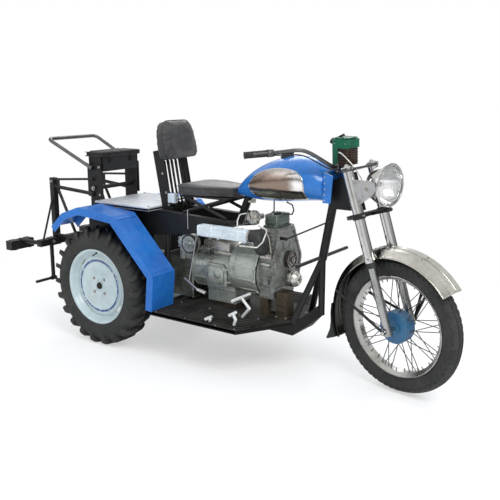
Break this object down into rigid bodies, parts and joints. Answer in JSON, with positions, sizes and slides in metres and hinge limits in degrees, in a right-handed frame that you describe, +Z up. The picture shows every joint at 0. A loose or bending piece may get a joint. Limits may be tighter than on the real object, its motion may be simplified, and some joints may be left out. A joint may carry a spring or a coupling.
{
  "type": "three-wheeled mini tractor",
  "caption": "Home-built mini tractor with a motorcycle front end, open engine, driven rear wheels and a hand-lifted tool frame.",
  "frame": {"origin": "on the ground under the middle of the machine", "axes": "+X forward, +Y to the driver's left, +Z up"},
  "size_m": [2.7992, 0.8072, 1.2886],
  "materials": {
    "black_paint": "satin black enamel",
    "blue_paint": "gloss blue enamel",
    "white_paint": "gloss white enamel",
    "green_paint": "satin green enamel",
    "checker_plate": "bright tread plate",
    "black_vinyl": "black vinyl",
    "black_plastic": "matt",
    "black_rubber": "matt rubber",
    "tyre": "black rubber",
    "cast_engine": "oily grey casting",
    "cast_aluminium": "dull grey-green casting",
    "rusty_steel": "rusty",
    "polished_fork": "polished",
    "chrome": "chrome",
    "brushed_pulley": "worn steel",
    "pale_hose": "pale soft hose",
    "brown_paint": "brown enamel",
    "lamp_glass": "clear glass"
  },
  "bodies": {
    "chassis": {"main_frame": "black_paint", "rear_axle": "black_paint", "fender_right": "blue_paint", "fender_left": "blue_paint", "deck_plate": "checker_plate", "footboard": "black_paint", "skid_plate": "black_paint", "rear_portal": "black_paint", "toolbox": "black_paint", "seat_cushion": "black_vinyl", "backrest_cushion": "black_vinyl", "backrest_frame": "black_paint", "seat_carrier": "black_paint", "fuel_tank": "blue_paint", "tank_cap": "black_plastic", "engine_block": "cast_engine", "gearbox": "cast_aluminium", "transfer_case": "cast_aluminium", "belt_drum": "cast_engine", "silencer": "white_paint", "alternator": "cast_aluminium", "carburettor": "cast_aluminium", "intake_elbow": "black_rubber", "pedals": "white_paint", "engine_mounts": "rusty_steel", "timing_cover": "cast_engine", "crank_pulley": "brushed_pulley", "neck_cover": "blue_paint", "fuel_hoses": "black_rubber", "breather_hoses": "pale_hose", "control_rods": "polished_fork"},
    "front_end": {"fork_sliders": "polished_fork", "fork_covers": "chrome", "yokes": "black_paint", "handlebar": "chrome", "grips": "black_rubber", "headlamp": "chrome", "headlamp_lens": "lamp_glass", "front_mudguard": "chrome", "control_box": "green_paint", "control_core": "brown_paint", "lamp_brackets": "black_paint", "hand_levers": "chrome", "bar_cables": "black_rubber", "mudguard_stays": "black_paint"},
    "front_wheel": {"front_tyre": "tyre", "front_hub": "blue_paint", "front_rim": "chrome"},
    "wheel_right": {"rear_tyre_right": "tyre", "rear_wheel_right": "white_paint"},
    "wheel_left": {"rear_tyre_left": "tyre", "rear_wheel_left": "white_paint"},
    "tool_lift": {"lift_frame": "black_paint", "lift_handle": "black_paint", "tool_carriers": "black_paint", "tool_shanks": "black_paint"},
    "box_lid": {"toolbox_lid": "black_paint"}
  },
  "joints": [
    {"name": "steering", "type": "hinge", "parent": "chassis", "child": "front_end", "pos_m": [1.01081, 0, 0.32186], "axis": [-0.3024, 0, 0.9532], "range_deg": [-19.7, 44.3]},
    {"name": "front_wheel_spin", "type": "hinge", "parent": "front_end", "child": "front_wheel", "pos_m": [1.06669, -0.01278, 0.33958], "axis": [0.2031, 0.977, 0.0644], "continuous": true},
    {"name": "rear_wheel_right_spin", "type": "hinge", "parent": "chassis", "child": "wheel_right", "pos_m": [-0.632, -0.31, 0.343], "axis": [0, 1, 0], "continuous": true},
    {"name": "rear_wheel_left_spin", "type": "hinge", "parent": "chassis", "child": "wheel_left", "pos_m": [-0.632, 0.31, 0.343], "axis": [0, 1, 0], "continuous": true},
    {"name": "tool_lift_pivot", "type": "hinge", "parent": "chassis", "child": "tool_lift", "pos_m": [-0.822, 0, 0.872], "axis": [0, 1, 0], "range_deg": [-8, 28]},
    {"name": "toolbox_lid_hinge", "type": "hinge", "parent": "chassis", "child": "box_lid", "pos_m": [-0.891, 0, 1.082], "axis": [0, -1, 0], "range_deg": [0, 100]}
  ]
}
